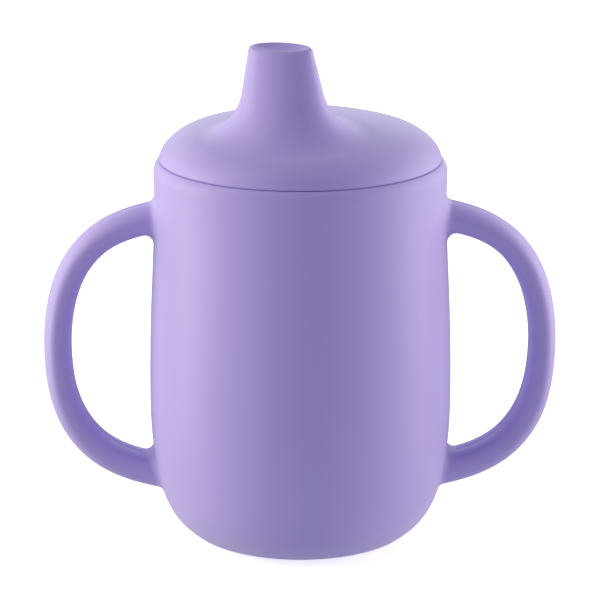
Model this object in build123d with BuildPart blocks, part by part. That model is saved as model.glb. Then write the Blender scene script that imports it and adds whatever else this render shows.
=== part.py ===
"""Two-handled silicone training cup with a press-in lid and an off-centre drinking spout.

Millimetres, +Z up. The origin is the centre of the flat base. The handles lie in the XZ plane, and
the spout points to the front (-Y), turned a little towards -X as the lid sits turned in the mouth.
"""
import os
from math import cos, radians, sin
from build123d import *

# ---- cup: driving dimensions -------------------------------------------------------------------
base_radius = 27.3           # flat base disc, before its edge is rounded
base_edge_round = 0.9
floor_thickness = 3.6
shoulder_radius = 36.3       # widest ring of the rim
shoulder_height = 92.2       # above it the rim rolls in to its flat top
rim_radius = 35.1            # outer edge of the flat top
rim_height = 95.15
mouth_radius = 33.2
mouth_depth = 11.0           # straight part of the mouth, for the lid's plug
mouth_round = 0.5
floor_radius = 22.0          # flat part of the inside floor

# outside of the wall between base and shoulder: (radius, height)
belly = [
    (30.6, 2.7), (33.4, 6.6), (36.3, 16.0), (37.55, 26.5),
    (37.76, 38.0), (37.2, 60.0), (36.2, 87.0),
]
# inside of the wall, from the floor up to the straight mouth: about 3 mm in from the outside
inside = [
    (25.6, 4.3), (30.0, 7.8), (33.3, 16.0), (34.55, 26.5),
    (34.76, 38.0), (34.2, 60.0), (33.35, 78.0),
]

# ---- handles -----------------------------------------------------------------------------------
handle_width = 11.6          # across, along Y
handle_blend = 2.3           # fillet where a handle runs into the wall
handle_girth_limit = 60.0    # the joints' edges are shorter than this, the handle's own seam is longer
# centre line, from the upper joint round to the lower one: (x, height, thickness)
handle_line = [
    (33.0, 81.4, 7.7),
    (40.0, 79.97, 7.3),
    (49.95, 75.37, 6.95),
    (56.6, 67.35, 6.85),
    (60.0, 56.8, 6.65),
    (60.65, 44.0, 6.7),
    (57.3, 29.05, 7.15),
    (51.05, 21.0, 7.35),
    (40.0, 15.6, 7.75),
    (33.0, 14.1, 8.1),
]

# ---- lid ---------------------------------------------------------------------------------------
seat_gap = 0.3               # seam between rim and lid
lid_edge_radius = 35.0
lid_base = rim_height + seat_gap
lid_wall = 2.2
dome_edge_angle = 10.3       # degrees the lid's side leans in at its lower edge
# the dome's section from its edge up: (arc radius, degrees turned); a last arc closes it on the axis
dome_arcs = [(7.4, 31.7), (13.5, 31.5)]

plug_radius = 32.8
plug_inner_radius = 30.4
plug_depth = 8.0
rib_radius = 33.0            # sealing ribs round the plug
rib_half_height = 0.8
rib_depths = (2.4, 5.6)      # below the lid's seat

vent_radius = 0.5
vent_offset = 10.0           # behind the lid's axis

# ---- spout: an oval cone in its own leaning frame ----------------------------------------------
spout_turn = 17.15           # degrees, how far the lid is turned in the mouth
spout_lean = 9.0             # degrees, outwards
spout_offset = 15.96         # from the lid's axis, at spout_level
spout_level = 114.8
spout_half_width = 10.14     # at spout_level
spout_half_depth = 5.9
width_taper = 0.196          # loss of half width for each mm along the spout
depth_taper = 0.177
spout_root = -17.0           # distances along the spout from spout_level
spout_tip = 11.95
spout_wall = 1.8
spout_flare = 15.0           # fillet between spout and dome
tip_round = 1.1
dish_depth = 1.3
dish_size = (7.7, 3.4, 2.8)  # half axes of the ellipsoid that dishes the tip
tip_membrane = 1.4
slit_half_length = 2.6       # drinking slit through the membrane, along the oval
slit_half_width = 0.1

front = Vector(-sin(radians(spout_turn)), -cos(radians(spout_turn)), 0)
across = Vector(cos(radians(spout_turn)), -sin(radians(spout_turn)), 0)
spout_axis = front * sin(radians(spout_lean)) + Vector(0, 0, cos(radians(spout_lean)))


def spout_plane(height):
    """Plane square to the spout, with x along the long axis of its oval."""
    centre = front * spout_offset + Vector(0, 0, spout_level) + spout_axis * height
    return Plane(origin=centre, x_dir=across, z_dir=spout_axis)


def spout_oval(height, inset):
    """One cross-section of the spout, set in by a wall thickness."""
    with BuildSketch(spout_plane(height)) as oval:
        Ellipse(
            spout_half_width - width_taper * height - inset,
            spout_half_depth - depth_taper * height - inset,
        )
    return oval.sketch


def handle(side):
    """One D-shaped handle as a solid swept round its centre line; side is 1 or -1."""
    points = [(side * x, 0, z) for x, z, _ in handle_line]
    with BuildPart() as loop:
        with BuildLine() as path:
            Spline(*points)
        line = path.edge()
        for place, (_, _, thickness) in zip(points, handle_line):
            at = line.param_at_point(place)
            with BuildSketch(Plane(origin=line @ at, x_dir=(0, 1, 0), z_dir=line % at)):
                Ellipse(handle_width / 2, thickness / 2)
        sweep(path=line, multisection=True)
    return loop.part


def dome_and_spout(tip, dome_inset, spout_inset, flare):
    """Domed cover and spout as one solid, blended by the flare; insets give the space inside."""
    lean = radians(dome_edge_angle)
    edge = (lid_edge_radius - dome_inset * cos(lean), lid_base - dome_inset * sin(lean))
    foot = lid_base - plug_depth if dome_inset else lid_base
    with BuildPart() as form:
        with BuildSketch(Plane.YZ):
            with BuildLine():
                if dome_inset:
                    Line((edge[0], foot), edge)
                side, tangent, turned = edge, (-sin(lean), cos(lean)), dome_edge_angle
                for radius, sweep_angle in dome_arcs:
                    arc = JernArc(side, tangent, radius - dome_inset, sweep_angle)
                    side, tangent, turned = arc @ 1, arc % 1, turned + sweep_angle
                crown = JernArc(side, tangent, side.X / cos(radians(turned)), 90 - turned)
                Polyline(crown @ 1, (0, foot), (edge[0], foot))
            make_face()
        revolve(axis=Axis.Z)
        dome_edges = form.edges()
        loft(sections=[spout_oval(spout_root, spout_inset), spout_oval(tip, spout_inset)])
        crease = (form.edges() - dome_edges).filter_by(lambda e: lid_base < e.center().Z < spout_level - 5)
        fillet(crease.sort_by(Edge.length)[-1], flare)
    return form.part


# ---- cup: wall, floor and both handles in one moulding -----------------------------------------
handles = [handle(side) for side in (1, -1)]

with BuildPart() as cup:
    with BuildSketch(Plane.YZ):
        with BuildLine():
            Line((0, 0), (base_radius, 0))
            outside = Spline((base_radius, 0), *belly, (shoulder_radius, shoulder_height))
            TangentArc(outside @ 1, (rim_radius, rim_height), tangent=outside % 1)
            Polyline((rim_radius, rim_height), (0, rim_height), (0, 0))
        make_face()
    revolve(axis=Axis.Z)
    fillet(cup.edges().filter_by(GeomType.CIRCLE).sort_by(Axis.Z)[0], base_edge_round)
    wall_edges = cup.edges()
    add(handles)
    joints = (cup.edges() - wall_edges).filter_by(lambda e: e.length < handle_girth_limit)
    fillet(joints, handle_blend)
    with BuildSketch(Plane.YZ):
        with BuildLine():
            Line((0, floor_thickness), (floor_radius, floor_thickness))
            Spline((floor_radius, floor_thickness), *inside, (mouth_radius, rim_height - mouth_depth))
            Polyline(
                (mouth_radius, rim_height - mouth_depth), (mouth_radius, rim_height),
                (0, rim_height), (0, floor_thickness),
            )
        make_face()
    revolve(axis=Axis.Z, mode=Mode.SUBTRACT)
    fillet(cup.edges().filter_by(GeomType.CIRCLE).group_by(Axis.Z)[-1].sort_by(Edge.length)[0], mouth_round)
cup.part.label = "cup"

# ---- lid: cover, plug, spout, drinking slit and air vent in one moulding -------------------------
cover = dome_and_spout(spout_tip, 0, 0, spout_flare)
channel_end = spout_tip - dish_depth - tip_membrane

with BuildPart() as hollow:                        # dome space narrowed to the plug, and the channel
    add(dome_and_spout(channel_end, lid_wall, spout_wall, spout_flare + lid_wall))
    with BuildSketch(Plane.XY.offset(lid_base - plug_depth)):
        Circle(plug_inner_radius)
    extrude(amount=2 * spout_level, mode=Mode.INTERSECT)

with BuildPart() as dish:                          # shallow hollow in the spout's tip
    Sphere(1)
    scale(by=dish_size)

with BuildPart() as lid:
    add(cover)
    fillet(lid.edges().group_by(Axis.Z)[-1].sort_by(Edge.length)[-1], tip_round)
    with BuildSketch(Plane.XY.offset(lid_base)):
        Circle(plug_radius)
    extrude(amount=-plug_depth)
    for depth in rib_depths:
        with BuildSketch(Plane.YZ):
            with BuildLine():
                Polyline(
                    (plug_inner_radius, lid_base - depth - rib_half_height),
                    (plug_radius, lid_base - depth - rib_half_height),
                    (rib_radius, lid_base - depth),
                    (plug_radius, lid_base - depth + rib_half_height),
                    (plug_inner_radius, lid_base - depth + rib_half_height),
                    close=True,
                )
            make_face()
        revolve(axis=Axis.Z)
    add(hollow, mode=Mode.SUBTRACT)
    add(spout_plane(spout_tip + dish_size[2] - dish_depth).location * dish.part, mode=Mode.SUBTRACT)
    with BuildSketch(spout_plane(channel_end - 1)):
        Ellipse(slit_half_length, slit_half_width)
    extrude(amount=spout_tip - channel_end + 2, mode=Mode.SUBTRACT)
    with BuildSketch(Plane.XY.offset(lid_base)):
        with Locations(-front * vent_offset):
            Circle(vent_radius)
    extrude(amount=2 * lid_wall + spout_tip, mode=Mode.SUBTRACT)
lid.part.label = "lid"

os.makedirs("parts", exist_ok=True)
export_step(cup.part, "parts/cup.step")
export_step(lid.part, "parts/lid.step")
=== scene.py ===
"""Looks for the two-handled silicone training cup: finished meshes, materials, light and camera.

The cup and its lid are each one moulding, so each is one closed shell of quads. Both are made of surfaces
that rails run along: a handle or the spout meets the wall in the fillet that a rolling ball leaves, and the
rails carry on over the fillet and into the wall's own grid. Lengths are millimetres until a mesh is made.
"""

from math import cos, pi, radians, sin, tan

import bmesh
import bpy
import numpy as np
from mathutils import Euler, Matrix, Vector


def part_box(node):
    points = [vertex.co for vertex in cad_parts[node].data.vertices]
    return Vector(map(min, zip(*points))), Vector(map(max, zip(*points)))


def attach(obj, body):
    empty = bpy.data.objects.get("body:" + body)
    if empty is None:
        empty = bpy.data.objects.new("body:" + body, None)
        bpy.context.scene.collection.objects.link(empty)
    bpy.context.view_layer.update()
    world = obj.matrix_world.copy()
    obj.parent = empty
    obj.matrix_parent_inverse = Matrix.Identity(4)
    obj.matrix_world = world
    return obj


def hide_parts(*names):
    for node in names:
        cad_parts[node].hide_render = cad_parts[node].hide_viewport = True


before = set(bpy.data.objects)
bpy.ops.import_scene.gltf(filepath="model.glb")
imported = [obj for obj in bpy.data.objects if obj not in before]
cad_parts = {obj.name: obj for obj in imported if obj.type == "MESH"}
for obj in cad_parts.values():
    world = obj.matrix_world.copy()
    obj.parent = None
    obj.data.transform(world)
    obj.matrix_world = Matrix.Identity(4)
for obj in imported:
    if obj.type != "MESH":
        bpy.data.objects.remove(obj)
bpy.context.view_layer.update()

MM = 0.001
cup_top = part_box("cup")[1] / MM
lid_low, lid_high = (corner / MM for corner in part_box("lid"))

# ---- cup ---------------------------------------------------------------------------------------
BASE_RADIUS = 27.3
BASE_EDGE_ROUND = 0.9
BASE_EDGE_GAP = 1.05                     # the wall starts this many setbacks of that round from its corner
SHOULDER = (36.3, 92.2)                  # widest ring of the rim: (radius, height)
RIM = (35.1, cup_top.z + 0.11)           # outer edge of the rim's flat top, before it is rounded
RIM_EDGE_ROUND = 0.4
RIM_EDGE_START = 0.5                     # the wall's own surface ends this far before that edge
MOUTH_RADIUS = 33.2
MOUTH_DEPTH = 11.0
MOUTH_ROUND = 0.5
FLOOR = (22.0, 3.6)                      # edge of the flat part of the inside floor
BELLY = [(30.6, 2.7), (33.4, 6.6), (36.3, 16), (37.55, 26.5), (37.76, 38), (37.2, 60), (36.2, 87)]
INSIDE = [(25.6, 4.3), (30, 7.8), (33.3, 16), (34.55, 26.5), (34.76, 38), (34.2, 60), (33.35, 78)]

# ---- handles -----------------------------------------------------------------------------------
HANDLE_HALF_WIDTH = 5.8
HANDLE_BLEND = 2.3
HANDLE_LINE = [                          # (x, height, thickness), from the upper joint round to the lower
    (33, 81.4, 7.7), (40, 79.97, 7.3), (49.95, 75.37, 6.95), (56.6, 67.35, 6.85), (60, 56.8, 6.65),
    (60.65, 44, 6.7), (57.3, 29.05, 7.15), (51.05, 21, 7.35), (40, 15.6, 7.75), (33, 14.1, 8.1),
]
OUTER_SQUARENESS = 2.2                   # superellipse exponents of the handle's section
INNER_SQUARENESS = 3.0                   # the inner face is flatter
PARTING_HEIGHT = 0.16                    # witness line left by the mould, along the handle's middle
PARTING_HALF_WIDTH = 0.2
PARTING_CROWD = (2.5, 0.5)               # how much closer rails are at the line, and how far to its sides

# ---- lid: its own frame has the spout leaning to -Y, and is turned in the mouth at the end -------
LID_TURN = 17.15                         # degrees
LID_BASE = RIM[1] + 0.03
LID_EDGE_ROUND = 0.5                     # both the edge over the seam and the corner of the seat
LID_EDGE_RADIUS = lid_high.x + 0.02
LID_WALL = 2.2
DOME_ARCS = [(7.4, 9.4), (13.5, 42.0)]   # section from the edge up: (radius, degrees it starts at)
CROWN_START = 73.5                       # degrees, where the last arc starts, centred on the axis
PLUG_RADIUS = 32.8
PLUG_INNER_RADIUS = 30.4
PLUG_FOOT = lid_low.z
PLUG_FOOT_ROUND = 0.6
RIB_RADIUS = 33.0
RIB_HALF_HEIGHT = 0.8
RIB_DEPTHS = (2.4, 5.6)
RIB_ROUNDS = (0.6, 0.8, 0.6)             # above, on and below a rib
VENT_RADIUS = 0.5
VENT_OFFSET = 10.0

SPOUT_LEAN = radians(9)
SPOUT_OFFSET = 15.96
SPOUT_LEVEL = 114.8
SPOUT_HALF = (10.14, 5.9)                # half width and half depth at SPOUT_LEVEL
SPOUT_TAPER = (0.196, 0.177)
SPOUT_TIP = 11.95                        # along the spout from SPOUT_LEVEL
SPOUT_ROOT = -20.0                       # deep under the dome
SPOUT_WALL = 1.8
SPOUT_FLARE = 15.0
TIP_ROUND = 1.1
DISH_DEPTH = 1.3
DISH_SIZE = (7.7, 3.4, 2.8)              # half axes of the ellipsoid that dishes the tip
DISH_BLEND = 0.08
MEMBRANE = 1.4                           # between the dish and the channel
CHANNEL_END = SPOUT_TIP - DISH_DEPTH - MEMBRANE
SLIT = (2.6, 0.1)                        # half axes of the drinking slit
SLIT_EDGE_ROUND = 0.05
CHANNEL_ROUND = 0.5
LID_EDGE_START = 0.9                     # the dome's own surface starts this far up from its edge
INNER_CORNER = 1.5                       # and the space under it this far in from the plug's wall
INNER_CORNER_ROUND = 1.0

# ---- silicone ----------------------------------------------------------------------------------
PIGMENT = (0.430, 0.330, 0.796), (0.442, 0.340, 0.808)
ROUGHNESS = (0.57,) * 3, (0.63,) * 3     # greys
SILICONE_IOR = 1.45
GLOSS = 0.5                              # Specular IOR Level
SHEEN = 0.3
SHEEN_ROUGHNESS = 0.7
COAT = 0.3
COAT_ROUGHNESS = 0.38
CLOUD_SCALE = 30.0                       # noises, per metre
SPECK_SCALE = 900.0
GRAIN_SCALE = 2200.0
GRAIN_DEPTH = 0.000012                   # metres
NOISE_MIDDLE = (0.3, 0.7)                # the part of a noise's range that is spread over two colours

# ---- studio: degrees and metres ----------------------------------------------------------------
VIEW_AZIMUTH, VIEW_ELEVATION = -1.65, 15.8
VIEW_HEIGHT, VIEW_DISTANCE = 0.059, 0.75
VIEW_SIDESTEP = -0.0001                  # x of the upright line that the camera is turned about
LENS, SENSOR = 180, 36                   # millimetres
LIGHT_DISTANCE = 0.9
ROOM_LIGHT, ROOM_TINT = 0.38, (0.88, 0.90, 1.0)
WARM, FAINTLY_WARM, WHITE = (1, 0.94, 0.75), (1, 0.93, 0.85), (1, 1, 0.96)
COOL, FAINTLY_COOL = (0.86, 1, 0.95), (0.91, 0.92, 1)
SOFT_BOXES = [                           # (name, azimuth, elevation, size, watts, tint)
    ("left_box", -92, 6, (0.45, 0.85), 6.9, WARM),
    ("right_box", 95, 5, (0.45, 0.85), 5.5, FAINTLY_WARM),
    ("left_back_box", -132, 12, (0.35, 0.8), 1.7, WHITE),
    ("right_back_box", 128, 12, (0.35, 0.8), 2.1, WHITE),
    ("back_box", 180, 18, (0.8, 0.35), 1.1, COOL),
    ("left_high_box", -75, 50, (0.5, 0.4), 1.1, WHITE),
    ("front_low_box", 0, -40, (0.5, 0.4), 1.1, FAINTLY_COOL),
]
FLOOR_REACH, FLOOR_LEVEL = 3.0, -0.0001  # just under the base, so that no faces coincide
FLOOR_GREY, FLOOR_ROUGHNESS, FLOOR_GLOW = 0.9, 0.9, 0.6

# ---- mesh density: cells, unless it says otherwise ----------------------------------------------
BLOCK = 20                               # along each side of the square a handle grows out of
CUP_SEGMENTS = 12 * BLOCK
LOWER_BLOCK, UPPER_BLOCK = (5.6, 24.0), (71.8, 88.6)     # heights of the squares' edges
WALL_ROWS = [10, BLOCK, 36, BLOCK, 4, 16]                # below, on, between and above the squares; rim
SHOULDER_START = 1.0                     # millimetres below SHOULDER, where the rim's rows begin
INSIDE_POINTS = 60
HANDLE_RAILS = 4 * BLOCK
HANDLE_ROWS, FILLET_ROWS, JOINT_ROWS = 110, 10, 6
LID_SEGMENTS = 128
DOME_ROWS, SPACE_ROWS, FLARE_ROWS = 48, 36, 32
SPOUT_ROWS, FACE_ROWS, CORNER_ROWS, SLIT_ROWS = 26, 30, 8, 3
VENT_CELLS = (3, 2)                      # each way from the vent to its block's edge
VENT_ROWS, HOLE_ROWS, SKIRT_ROWS = 5, 4, 5
BASE_CORNER_POINTS, RIM_POINTS = 8, 200
RIM_ROWS = 6                             # over each of the rim's two edges
FINE = 2000                              # points on a section curve
HALVINGS = 30                            # of the stretch of a rail in which a rolling ball's place lies
WELD = 0.002                             # millimetres


# ---- curves ------------------------------------------------------------------------------------
def lengths(points):
    """Distance along a line of points, at each point."""
    return np.concatenate([[0], np.cumsum(np.linalg.norm(np.diff(points, axis=0), axis=1))])


def spline(points, count=FINE):
    """A natural cubic spline through the points, as a fine line of points."""
    points = np.array(points, float)
    knots = lengths(points[:, :2])
    gap = np.diff(knots)
    slope = np.diff(points, axis=0) / gap[:, None]
    system, right = np.eye(len(points)), np.zeros_like(points)
    for i in range(1, len(points) - 1):
        system[i, i - 1 : i + 2] = gap[i - 1], 2 * (gap[i - 1] + gap[i]), gap[i]
        right[i] = 6 * (slope[i] - slope[i - 1])
    bend = np.linalg.solve(system, right)
    at = np.linspace(0, knots[-1], count)
    i = np.clip(np.searchsorted(knots, at) - 1, 0, len(gap) - 1)
    width, before, after = gap[i][:, None], (at - knots[i])[:, None], (knots[i + 1] - at)[:, None]
    return (
        (bend[i] * after**3 + bend[i + 1] * before**3) / (6 * width)
        + (points[i] / width - bend[i] * width / 6) * after
        + (points[i + 1] / width - bend[i + 1] * width / 6) * before
    )


def arc(centre, radius, start, stop, count=FINE):
    """Points on an arc in a section, between two angles in degrees."""
    angle = np.radians(np.linspace(start, stop, count))
    return np.array(centre) + radius * np.stack([np.cos(angle), np.sin(angle)], 1)


def rounded(corners, radii, steps):
    """A line through the corners, each inner corner replaced by an arc of its radius in some steps."""
    line = [np.array(corners[0], float)]
    for before, corner, after, radius in zip(corners, corners[1:], corners[2:], radii):
        corner = np.array(corner, float)
        back, on = np.array(before) - corner, np.array(after) - corner
        back, on = back / np.linalg.norm(back), on / np.linalg.norm(on)
        half = np.arccos(np.clip(back @ on, -1, 1)) / 2
        middle = (back + on) / np.linalg.norm(back + on)
        centre = corner + middle * radius / sin(half)
        first, last = corner + back * radius / tan(half), corner + on * radius / tan(half)
        line.extend(slerp(centre, first, last, np.linspace(0, 1, steps + 1)[:, None]))
    line.append(np.array(corners[-1], float))
    return np.array(line)


def slerp(centre, first, last, share):
    """Points on the arc from first to last about centre; share runs from 0 to 1."""
    a, b = first - centre, last - centre
    size = np.linalg.norm(a, axis=-1, keepdims=True) * np.linalg.norm(b, axis=-1, keepdims=True)
    turn = np.arccos(np.clip((a * b).sum(-1, keepdims=True) / size, -1, 1))
    return centre + (np.sin((1 - share) * turn) * a + np.sin(share * turn) * b) / np.sin(turn)


class Section:
    """Half of a turned shape's outline, as (radius, height) against distance along it.

    It runs upwards and inwards, so that the outside is on its right.
    """

    def __init__(self, points):
        self.points = points
        self.along = lengths(points)
        self.length = self.along[-1]

    def at(self, place):
        """(radius, height) at a distance along it."""
        return [np.interp(place, self.along, self.points[:, i]) for i in (0, 1)]

    def nearest(self, points):
        """(place, signed distance) of the nearest point of the section to each point in space."""
        spot = np.stack([np.hypot(points[..., 0], points[..., 1]), points[..., 2]], -1)
        near = np.array([((self.points - p) ** 2).sum(1).argmin() for p in spot.reshape(-1, 2)])
        near = np.clip(near.reshape(spot.shape[:-1]), 1, len(self.points) - 2)
        step = self.points[near + 1] - self.points[near - 1]
        step /= np.linalg.norm(step, axis=-1, keepdims=True)
        offset = spot - self.points[near]
        ahead = (offset * step).sum(-1)
        outwards = offset[..., 0] * step[..., 1] - offset[..., 1] * step[..., 0]
        return self.along[near] + ahead, outwards

    def turned(self, place, angle):
        """Points in space at places along the section, turned about the axis by an angle."""
        radius, height = self.at(place)
        return np.stack([radius * np.cos(angle), radius * np.sin(angle), height], -1)


def turned(line, angles):
    """A grid of points: a line of (radius, height) turned about the axis."""
    radius, height = line[:, 0][:, None], line[:, 1][:, None]
    return np.stack([radius * np.cos(angles), radius * np.sin(angles), height + 0 * angles], -1)


# ---- surfaces ----------------------------------------------------------------------------------
def vector(x, y, z):
    """Points in space from arrays of coordinates."""
    return np.stack(np.broadcast_arrays(x, y, z), -1)


def between(first, last, count):
    """Rows that run from row first to row last, both included, over count cells."""
    share = np.linspace(0, 1, count + 1).reshape(-1, *[1] * np.ndim(first))
    return first + share * (last - first)


def roll(surface, near, far, distance, radius):
    """A ball that rolls down the rails of a surface until it touches another one.

    surface gives points and outward normals for one place on each rail, and distance is how far points
    are from the other surface. near and far are places on the rails, near too close to that surface for
    the ball and far clear of it. Gives each rail's place and the ball's centre.
    """
    for _ in range(HALVINGS):
        middle = (near + far) / 2
        point, normal = surface(middle)
        touching = distance(point + radius * normal) < radius
        near, far = np.where(touching, middle, near), np.where(touching, far, middle)
    point, normal = surface(far)
    return far, point + radius * normal


def outline(grid, rows, columns):
    """The points round a block of a grid, from the middle of its first row."""
    (first, last), (left, right) = rows, columns

    def run(start, stop):
        return range(start, stop, 1 if stop > start else -1)

    middle = (left + right) // 2
    spots = [(first, c) for c in run(middle, right)] + [(r, right) for r in run(first, last)]
    spots += [(last, c) for c in run(right, left)] + [(r, left) for r in run(last, first)]
    spots += [(first, c) for c in run(left, middle)]
    return np.array([grid[spot] for spot in spots])


class Shell:
    """Collects grids of points and their quads. Points that two grids share are welded at the end."""

    def __init__(self):
        self.points, self.quads, self.total = [], [], 0

    def add(self, grid, closed=True, without=()):
        """Adds a grid of rows, each row's last point joined to its first if closed.

        without lists blocks of cells to leave open, as (first row, last row, first column, last column).
        """
        rows, columns = grid.shape[:2]
        index = self.total + np.arange(rows * columns).reshape(rows, columns)
        if closed:
            index = np.concatenate([index, index[:, :1]], 1)
        quads = np.stack([index[:-1, :-1], index[:-1, 1:], index[1:, 1:], index[1:, :-1]], -1)
        kept = np.ones(quads.shape[:2], bool)
        for first, last, left, right in without:
            kept[first:last, left:right] = False
        self.points.append(grid.reshape(-1, 3))
        self.quads.append(quads[kept])
        self.total += rows * columns

    def add_disc(self, radius, height, angles):
        """A flat disc of quads with no centre point: a square grid pressed into a circle."""
        cells = len(angles) // 4
        a, b = np.meshgrid(np.linspace(-1, 1, cells + 1), np.linspace(-1, 1, cells + 1))
        wide = abs(a) >= abs(b)
        size = np.where(wide, a, b)
        share = np.where(wide, b, a) / np.where(size == 0, 1, size)
        angle = angles[0] + pi / 4 + np.where(wide, pi / 4 * share, pi / 2 - pi / 4 * share)
        radial = radius * size
        self.add(vector(radial * np.cos(angle), radial * np.sin(angle), height), closed=False)

    def piece(self, name, body, node, material, turn=0.0):
        """Makes the mesh in metres, welds it, turns its faces outwards and hands it to the frame."""
        points = np.concatenate(self.points) * MM
        x, y = points[:, 0].copy(), points[:, 1].copy()
        points[:, 0], points[:, 1] = x * cos(turn) - y * sin(turn), x * sin(turn) + y * cos(turn)
        mesh = bpy.data.meshes.new(name)
        mesh.from_pydata(points, [], np.concatenate(self.quads).tolist())
        work = bmesh.new()
        work.from_mesh(mesh)
        bmesh.ops.remove_doubles(work, verts=work.verts, dist=WELD * MM)
        bmesh.ops.recalc_face_normals(work, faces=work.faces)
        work.to_mesh(mesh)
        work.free()
        mesh.shade_smooth()
        mesh.materials.append(material)
        made = bpy.data.objects.new(name, mesh)
        bpy.context.scene.collection.objects.link(made)
        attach(made, body)
        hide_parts(node)


# ---- cup ---------------------------------------------------------------------------------------
class Handle:
    """The right handle: a superellipse swept along its centre line, with a rail at each of its angles."""

    def __init__(self):
        line = spline(HANDLE_LINE)
        self.line, self.along = line, lengths(line[:, :2])
        self.length = self.along[-1]
        # rails are evenly spread round a middling section, but closer together at the parting line
        middling = HANDLE_LINE[len(HANDLE_LINE) // 2][2] / 2
        angle = np.linspace(pi / 2, 5 * pi / 2, FINE)
        across, outwards = self.section(angle, np.full(FINE, middling))
        spread = lengths(np.stack([across, outwards], 1))
        crowding = 1 + PARTING_CROWD[0] * np.exp(-((across / PARTING_CROWD[1]) ** 2))
        spread = np.concatenate([[0], np.cumsum(np.diff(spread) * crowding[1:])])
        self.angle = np.interp(np.arange(HANDLE_RAILS) / HANDLE_RAILS * spread[-1], spread, angle)

    def section(self, angle, half):
        """(across, outwards) on the section's outline; half is half the thickness."""
        power = np.where(np.sin(angle) > 0, OUTER_SQUARENESS, INNER_SQUARENESS)
        wide = abs(np.cos(angle) / HANDLE_HALF_WIDTH) ** power
        radius = (wide + abs(np.sin(angle) / half) ** power) ** (-1 / power)
        return radius * np.cos(angle), radius * np.sin(angle)

    def __call__(self, place):
        """Points on the rails at distances along the centre line, and the normals there."""
        x, z, thickness = (np.interp(place, self.along, self.line[:, i]) for i in range(3))
        ahead = [np.interp(place, self.along, np.gradient(self.line[:, i], self.along)) for i in (0, 1)]
        size = np.hypot(*ahead)
        out_x, out_z = -ahead[1] / size, ahead[0] / size
        across, outwards = self.section(self.angle, thickness / 2)
        power = np.where(outwards > 0, OUTER_SQUARENESS, INNER_SQUARENESS)
        steep_across = np.sign(across) * abs(across / HANDLE_HALF_WIDTH) ** (power - 1) / HANDLE_HALF_WIDTH
        steep_out = np.sign(outwards) * abs(2 * outwards / thickness) ** (power - 1) * 2 / thickness
        size = np.hypot(steep_across, steep_out)
        steep_across, steep_out = steep_across / size, steep_out / size
        points = vector(x + outwards * out_x, across, z + outwards * out_z)
        return points, vector(steep_out * out_x, steep_across, steep_out * out_z)

    def parting(self, place):
        """How far the mould's parting line stands out on each rail."""
        thickness = np.interp(place, self.along, self.line[:, 2])
        across, _ = self.section(self.angle, thickness / 2)
        return PARTING_HEIGHT * np.exp(-((across / PARTING_HALF_WIDTH) ** 2))


def cup_outside():
    """The wall's outside, from the flat base to the rim's flat top."""
    wall = spline([(BASE_RADIUS, 0), *BELLY, SHOULDER])
    rise = wall[1] - wall[0]
    turn = np.arctan2(rise[1], rise[0])
    setback = BASE_EDGE_ROUND * tan(turn / 2)
    centre = (BASE_RADIUS - setback, BASE_EDGE_ROUND)
    corner = arc(centre, BASE_EDGE_ROUND, -90, -90 + np.degrees(turn), BASE_CORNER_POINTS)
    wall = wall[lengths(wall) > setback * BASE_EDGE_GAP]
    ahead = (wall[-1] - wall[-2]) / np.linalg.norm(wall[-1] - wall[-2])
    inwards, chord = np.array([-ahead[1], ahead[0]]), np.array(RIM) - wall[-1]
    centre = wall[-1] + inwards * (chord @ chord) / (2 * inwards @ chord)
    rim = slerp(centre, wall[-1], np.array(RIM), np.linspace(0, 1, RIM_POINTS)[1:, None])
    return Section(np.concatenate([corner, wall, rim]))


def place_at(section, height):
    """Distance along a rising section to a height."""
    return np.interp(height, section.points[:, 1], section.along)


def joint(handle, start, outside, block_edge):
    """Rows from a handle's end over its fillet to the edge of its block in the wall.

    start is the place deep in the wall, and the handle's middle is on the far side. Gives the place where
    each rail leaves the fillet, and the grid of rows.
    """
    rails = np.full(HANDLE_RAILS, float(start))
    place, centre = roll(
        handle, rails, np.full(HANDLE_RAILS, handle.length / 2), lambda p: outside.nearest(p)[1], HANDLE_BLEND
    )
    contact = np.stack([outside.nearest(centre)[0], np.arctan2(centre[:, 1], centre[:, 0])], -1)
    on_handle, on_wall = handle(place)[0], outside.turned(contact[:, 0], contact[:, 1])
    share = np.linspace(0, 1, FILLET_ROWS + 1)[:, None, None]
    fillet = slerp(centre, on_handle, on_wall, share)
    stand = handle.parting(place)[None, :, None] * (1 - share) ** 2
    fillet = fillet + stand * (centre - fillet) / HANDLE_BLEND
    spread = between(contact, block_edge, JOINT_ROWS)[1:]
    return place, np.concatenate([fillet, outside.turned(spread[..., 0], spread[..., 1])])


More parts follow.
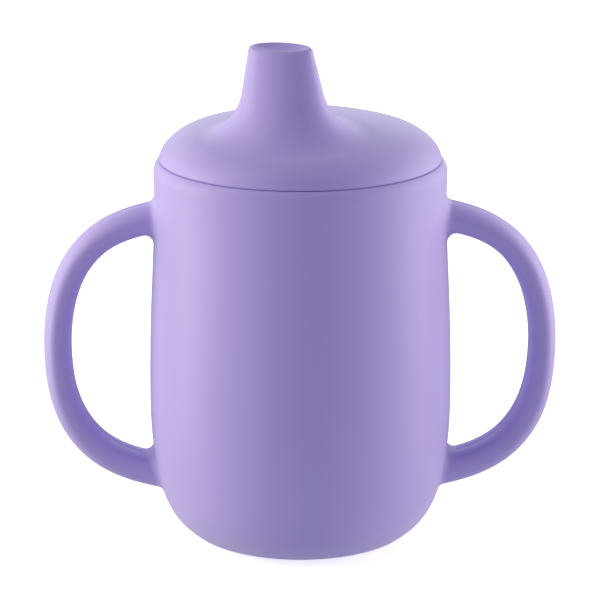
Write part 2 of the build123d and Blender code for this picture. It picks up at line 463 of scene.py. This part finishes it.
def build_cup(material):
    """Wall, floor, inside and both handles as one closed shell."""
    shell = Shell()
    outside, handle = cup_outside(), Handle()
    low, high = [place_at(outside, z) for z in LOWER_BLOCK], [place_at(outside, z) for z in UPPER_BLOCK]
    shoulder = place_at(outside, SHOULDER[1] - SHOULDER_START)
    stops = [0, *low, *high, shoulder, outside.length - RIM_EDGE_START]
    places = [np.linspace(a, b, n, endpoint=False) for a, b, n in zip(stops, stops[1:], WALL_ROWS)]
    places = np.concatenate([*places, stops[-1:]])
    angles = (np.arange(CUP_SEGMENTS) - BLOCK // 2) * 2 * pi / CUP_SEGMENTS
    wall = np.stack(np.broadcast_arrays(places[:, None], angles[None]), -1)
    low_row, high_row = WALL_ROWS[0], sum(WALL_ROWS[:3])
    blocks = [
        (row, row + BLOCK, column, column + BLOCK)
        for row in (low_row, high_row)
        for column in (0, CUP_SEGMENTS // 2)
    ]
    shell.add(outside.turned(wall[..., 0], wall[..., 1]), without=blocks)

    upper_edge = outline(wall, (high_row + BLOCK, high_row), (BLOCK, 0))
    lower_edge = outline(wall, (low_row, low_row + BLOCK), (BLOCK, 0))
    first, upper = joint(handle, 0, outside, upper_edge)
    last, lower = joint(handle, handle.length, outside, lower_edge)
    rails = between(first, last, HANDLE_ROWS)
    sweep, normals = handle(rails)
    sweep = sweep + handle.parting(rails)[..., None] * normals
    for side in (1, -1):
        for grid in (upper, sweep, lower):
            shell.add(grid * [side, 1, 1])

    wall_inside = spline([FLOOR, *INSIDE, (MOUTH_RADIUS, RIM[1] - MOUTH_DEPTH)], INSIDE_POINTS)[::-1]
    corners = [outside.at(stops[-1]), RIM, (MOUTH_RADIUS, RIM[1]), wall_inside[0]]
    rim = rounded(corners, [RIM_EDGE_ROUND, MOUTH_ROUND], RIM_ROWS)
    shell.add(turned(np.concatenate([rim, wall_inside[1:]]), angles))
    shell.add_disc(outside.points[0][0], 0, angles)
    shell.add_disc(FLOOR[0], FLOOR[1], angles)
    shell.piece("cup_moulding", "cup_body", "cup", material)


# ---- lid ---------------------------------------------------------------------------------------
class Spout:
    """The spout's oval cone, set in by a wall thickness, with a rail at each angle round the lid."""

    across = np.array([1.0, 0, 0])
    back = np.array([0, cos(SPOUT_LEAN), sin(SPOUT_LEAN)])
    axis = np.array([0, -sin(SPOUT_LEAN), cos(SPOUT_LEAN)])
    foot = np.array([0, -SPOUT_OFFSET, SPOUT_LEVEL])

    def __init__(self, inset, angles):
        self.inset, self.angle = inset, angles

    def half_axes(self, place):
        return [half - self.inset - taper * place for half, taper in zip(SPOUT_HALF, SPOUT_TAPER)]

    def point(self, u, v, place):
        """A point in space from coordinates across, back and along the spout."""
        u, v, place = (np.asarray(value)[..., None] for value in (u, v, place))
        return self.foot + u * self.across + v * self.back + place * self.axis

    def __call__(self, place):
        """Points on the rails at places along the spout, and the normals there."""
        width, depth = self.half_axes(place)
        c, s = np.cos(self.angle), np.sin(self.angle)
        rise = width * SPOUT_TAPER[1] * s**2 + depth * SPOUT_TAPER[0] * c**2
        normal = (
            (depth * c)[..., None] * self.across + (width * s)[..., None] * self.back
            + rise[..., None] * self.axis
        )
        normal /= np.linalg.norm(normal, axis=-1, keepdims=True)
        return self.point(width * c, depth * s, place), normal


def dome_section(inset):
    """The dome's section, or that of the space under it if set in by the wall."""
    (edge_radius, edge_angle), (next_radius, next_angle) = DOME_ARCS
    direction = np.array([cos(radians(edge_angle)), sin(radians(edge_angle))])
    centre = np.array([LID_EDGE_RADIUS, LID_BASE]) - edge_radius * direction
    edge = arc(centre, edge_radius - inset, edge_angle, next_angle)
    direction = np.array([cos(radians(next_angle)), sin(radians(next_angle))])
    centre = centre + (edge_radius - next_radius) * direction
    shoulder = arc(centre, next_radius - inset, next_angle, CROWN_START)
    crown_radius = next_radius + centre[0] / cos(radians(CROWN_START))
    direction = np.array([cos(radians(CROWN_START)), sin(radians(CROWN_START))])
    centre = centre + (next_radius - crown_radius) * direction
    crown = arc(centre, crown_radius - inset, CROWN_START, 90)
    return Section(np.concatenate([edge, shoulder[1:], crown[1:]]))


def unrolled(place, angle, dome):
    """A point of the dome as a complex number: its distance from the crown, at its angle."""
    return (dome.length - place) * np.exp(1j * angle)


def rolled(spot, dome):
    """The point in space of an unrolled one."""
    return dome.turned(dome.length - abs(spot), np.angle(spot))


def dome_and_flare(shell, dome, spout, flare, edge_place, cells):
    """The dome from its edge in to the spout, with the vent's hole, and the flare up to the spout.

    Gives the place on each rail where the spout leaves the flare, and the ring round the vent.
    """
    root, end = np.full(LID_SEGMENTS, SPOUT_ROOT), np.full(LID_SEGMENTS, SPOUT_TIP)
    place, centre = roll(spout, root, end, lambda p: dome.nearest(p)[1], flare)
    contact = unrolled(dome.nearest(centre)[0], np.arctan2(centre[:, 1], centre[:, 0]), dome)
    share = np.linspace(0, 1, FLARE_ROWS + 1)[:, None, None]
    shell.add(slerp(centre, spout(place)[0], rolled(contact, dome), share))

    spread = between(contact, unrolled(edge_place, spout.angle, dome), cells)
    vent, back = 1j * VENT_OFFSET, LID_SEGMENTS // 4
    row = int(abs(spread[:, back] - vent).argmin())
    rows, columns = (row - VENT_CELLS[0], row + VENT_CELLS[0]), (back - VENT_CELLS[1], back + VENT_CELLS[1])
    shell.add(rolled(spread, dome), without=[(*rows, *columns)])
    ring = outline(spread, rows, columns)
    steps = -pi / 2 - np.arange(len(ring)) * 2 * pi / len(ring)
    hole = vent + VENT_RADIUS * np.exp(1j * steps)
    shell.add(rolled(between(ring, hole, VENT_ROWS), dome))
    return place, rolled(hole, dome)


def dish_height(u, v):
    """How far the spout's dished tip lies below its lip's plane, as a negative height."""
    inside = np.maximum(1 - (u / DISH_SIZE[0]) ** 2 - (v / DISH_SIZE[1]) ** 2, 0)
    bowl = DISH_SIZE[2] * (1 - np.sqrt(inside)) - DISH_DEPTH
    return -DISH_BLEND * np.log1p(np.exp(-bowl / DISH_BLEND))


def tip(shell, spout, start, end, corner_round, height, slit_round):
    """The spout's end from the place start: its sides, a rounded corner, and a face with the slit.

    height gives the face's height over the plane at end. Gives the ring of the slit.
    """
    taper = sum(SPOUT_TAPER) / 2
    corner = rounded([(-taper, -1), (0, 0), (1, 0)], [corner_round], CORNER_ROWS)[1:-1]
    shell.add(spout(between(start, np.full(LID_SEGMENTS, end + corner[0][1]), SPOUT_ROWS))[0])
    c, s = np.cos(spout.angle), np.sin(spout.angle)
    rise = corner[:, 1][:, None]
    inset = corner[:, 0][:, None] - taper * rise
    width, depth = spout.half_axes(end + rise)
    edge = (width - inset) * c + 1j * (depth - inset) * s
    shell.add(spout.point(edge.real, edge.imag, end + rise + height(edge.real, edge.imag)))

    turn = np.linspace(0, pi / 2, SLIT_ROWS + 1)[:, None]
    spread = slit_round * (1 - np.sin(turn))
    slit = (SLIT[0] + spread) * c + 1j * (SLIT[1] + spread) * s
    face = between(edge[-1], slit[0], FACE_ROWS)
    shell.add(spout.point(face.real, face.imag, end + height(face.real, face.imag)))
    drop = height(slit[0].real, slit[0].imag) - slit_round * (1 - np.cos(turn))
    lip = spout.point(slit.real, slit.imag, end + drop)
    shell.add(lip)
    return lip[-1]


def skirt(dome, inner, inner_place):
    """The section from the dome's edge under its seat, down the ribbed plug and up its inside."""
    ribs = [
        (radius, LID_BASE - depth + offset)
        for depth in RIB_DEPTHS
        for radius, offset in (
            (PLUG_RADIUS, RIB_HALF_HEIGHT), (RIB_RADIUS, 0), (PLUG_RADIUS, -RIB_HALF_HEIGHT)
        )
    ]
    corners = [
        dome.at(LID_EDGE_START), (LID_EDGE_RADIUS, LID_BASE), (PLUG_RADIUS, LID_BASE), *ribs,
        (PLUG_RADIUS, PLUG_FOOT), (PLUG_INNER_RADIUS, PLUG_FOOT),
        (PLUG_INNER_RADIUS, inner.at(inner_place)[1]), inner.at(inner_place + INNER_CORNER),
    ]
    radii = [LID_EDGE_ROUND] * 2 + [*RIB_ROUNDS] * len(RIB_DEPTHS) + [PLUG_FOOT_ROUND] * 2
    return rounded(corners, [*radii, INNER_CORNER_ROUND], SKIRT_ROWS)


def build_lid(material):
    """Dome, spout, channel, plug, drinking slit and vent as one closed shell."""
    shell = Shell()
    angles = np.arange(LID_SEGMENTS) * 2 * pi / LID_SEGMENTS
    dome, inner = dome_section(0), dome_section(LID_WALL)
    spout, channel = Spout(0, angles), Spout(SPOUT_WALL, angles)
    inner_place = np.interp(-PLUG_INNER_RADIUS, -inner.points[:, 0], inner.along)

    top, vent_top = dome_and_flare(shell, dome, spout, SPOUT_FLARE, LID_EDGE_START, DOME_ROWS)
    start = inner_place + INNER_CORNER
    low, vent_low = dome_and_flare(shell, inner, channel, SPOUT_FLARE + LID_WALL, start, SPACE_ROWS)
    shell.add(turned(skirt(dome, inner, inner_place), angles))
    slit_top = tip(shell, spout, top, SPOUT_TIP, TIP_ROUND, dish_height, SLIT_EDGE_ROUND)
    slit_low = tip(shell, channel, low, CHANNEL_END, CHANNEL_ROUND, lambda u, v: 0 * u, 0)
    for upper, lower in ((slit_top, slit_low), (vent_top, vent_low)):
        shell.add(between(upper, lower, HOLE_ROWS))
    shell.piece("lid_moulding", "lid_body", "lid", material, -radians(LID_TURN))


# ---- materials ---------------------------------------------------------------------------------
def silicone(name):
    """Matte soft-touch silicone: pigment faintly uneven, and a very fine moulded grain."""
    material = bpy.data.materials.new(name)
    material.use_nodes = True
    nodes, links = material.node_tree.nodes, material.node_tree.links
    shader = nodes["Principled BSDF"]
    shader.inputs["IOR"].default_value = SILICONE_IOR
    shader.inputs["Specular IOR Level"].default_value = GLOSS
    shader.inputs["Sheen Weight"].default_value = SHEEN
    shader.inputs["Sheen Roughness"].default_value = SHEEN_ROUGHNESS
    shader.inputs["Coat Weight"].default_value = COAT
    shader.inputs["Coat Roughness"].default_value = COAT_ROUGHNESS
    place = nodes.new("ShaderNodeTexCoord").outputs["Object"]

    def noise(scale, detail):
        texture = nodes.new("ShaderNodeTexNoise")
        texture.inputs["Scale"].default_value = scale
        texture.inputs["Detail"].default_value = detail
        links.new(place, texture.inputs["Vector"])
        return texture.outputs["Fac"]

    def ramp(value, low, high):
        """Maps the middle of a noise onto a range of colours, or of greys for a number."""
        colours = nodes.new("ShaderNodeValToRGB")
        for stop, at, colour in zip(colours.color_ramp.elements, NOISE_MIDDLE, (low, high)):
            stop.position, stop.color = at, (*colour, 1)
        links.new(value, colours.inputs["Fac"])
        return colours.outputs["Color"]

    links.new(ramp(noise(CLOUD_SCALE, detail=2), *PIGMENT), shader.inputs["Base Color"])
    links.new(ramp(noise(SPECK_SCALE, detail=2), *ROUGHNESS), shader.inputs["Roughness"])
    bump = nodes.new("ShaderNodeBump")
    bump.inputs["Strength"].default_value = 1
    bump.inputs["Distance"].default_value = GRAIN_DEPTH
    links.new(noise(GRAIN_SCALE, detail=3), bump.inputs["Height"])
    links.new(bump.outputs["Normal"], shader.inputs["Normal"])
    return material


# ---- studio ------------------------------------------------------------------------------------
def soft_box(name, azimuth, elevation, size, power, tint):
    """A soft box aimed at the cup, placed round it in degrees; azimuth is 0 in front, rising to the right."""
    data = bpy.data.lights.new(name, "AREA")
    data.shape = "RECTANGLE"
    data.size, data.size_y = size
    data.energy, data.color = power, tint
    turn = Euler((radians(90 - elevation), 0, radians(azimuth))).to_matrix()
    light = bpy.data.objects.new(name, data)
    light.location = Vector((0, 0, VIEW_HEIGHT)) + LIGHT_DISTANCE * turn.col[2]
    light.rotation_euler = turn.to_euler()
    bpy.context.scene.collection.objects.link(light)


def lay_floor():
    """A white floor that only the camera sees, so that it doesn't light the cup from below."""
    mesh = bpy.data.meshes.new("floor")
    reach = FLOOR_REACH
    corners = [(-reach, -reach), (reach, -reach), (reach, reach), (-reach, reach)]
    mesh.from_pydata([(*corner, FLOOR_LEVEL) for corner in corners], [], [(0, 1, 2, 3)])
    floor = bpy.data.objects.new("floor", mesh)
    paint = bpy.data.materials.new("floor_paint")
    paint.use_nodes = True
    shader = paint.node_tree.nodes["Principled BSDF"]
    shader.inputs["Base Color"].default_value = (FLOOR_GREY, FLOOR_GREY, FLOOR_GREY, 1)
    shader.inputs["Roughness"].default_value = FLOOR_ROUGHNESS
    shader.inputs["Emission Color"].default_value = (1, 1, 1, 1)
    shader.inputs["Emission Strength"].default_value = FLOOR_GLOW
    mesh.materials.append(paint)
    bpy.context.scene.collection.objects.link(floor)
    floor.visible_diffuse = floor.visible_glossy = floor.visible_shadow = False


def light_room():
    """Pale surroundings, and soft boxes to both sides, behind, above and below."""
    scene = bpy.context.scene
    world = bpy.data.worlds.new("studio")
    world.use_nodes = True
    background = world.node_tree.nodes["Background"]
    background.inputs["Color"].default_value = (*ROOM_TINT, 1)
    background.inputs["Strength"].default_value = ROOM_LIGHT
    scene.world = world
    scene.view_settings.view_transform = "Standard"
    for box in SOFT_BOXES:
        soft_box(*box)


def place_camera():
    """The camera, turned about an upright line through the cup's middle and looking down at it."""
    data = bpy.data.cameras.new("camera")
    data.lens, data.sensor_width = LENS, SENSOR
    camera = bpy.data.objects.new("camera", data)
    turn = Euler((radians(90 - VIEW_ELEVATION), 0, radians(VIEW_AZIMUTH))).to_matrix()
    camera.location = Vector((VIEW_SIDESTEP, 0, VIEW_HEIGHT)) + VIEW_DISTANCE * turn.col[2]
    camera.rotation_euler = turn.to_euler()
    bpy.context.scene.collection.objects.link(camera)
    bpy.context.scene.camera = camera


lay_floor()
light_room()
place_camera()
build_cup(silicone("cup_silicone"))
build_lid(silicone("lid_silicone"))
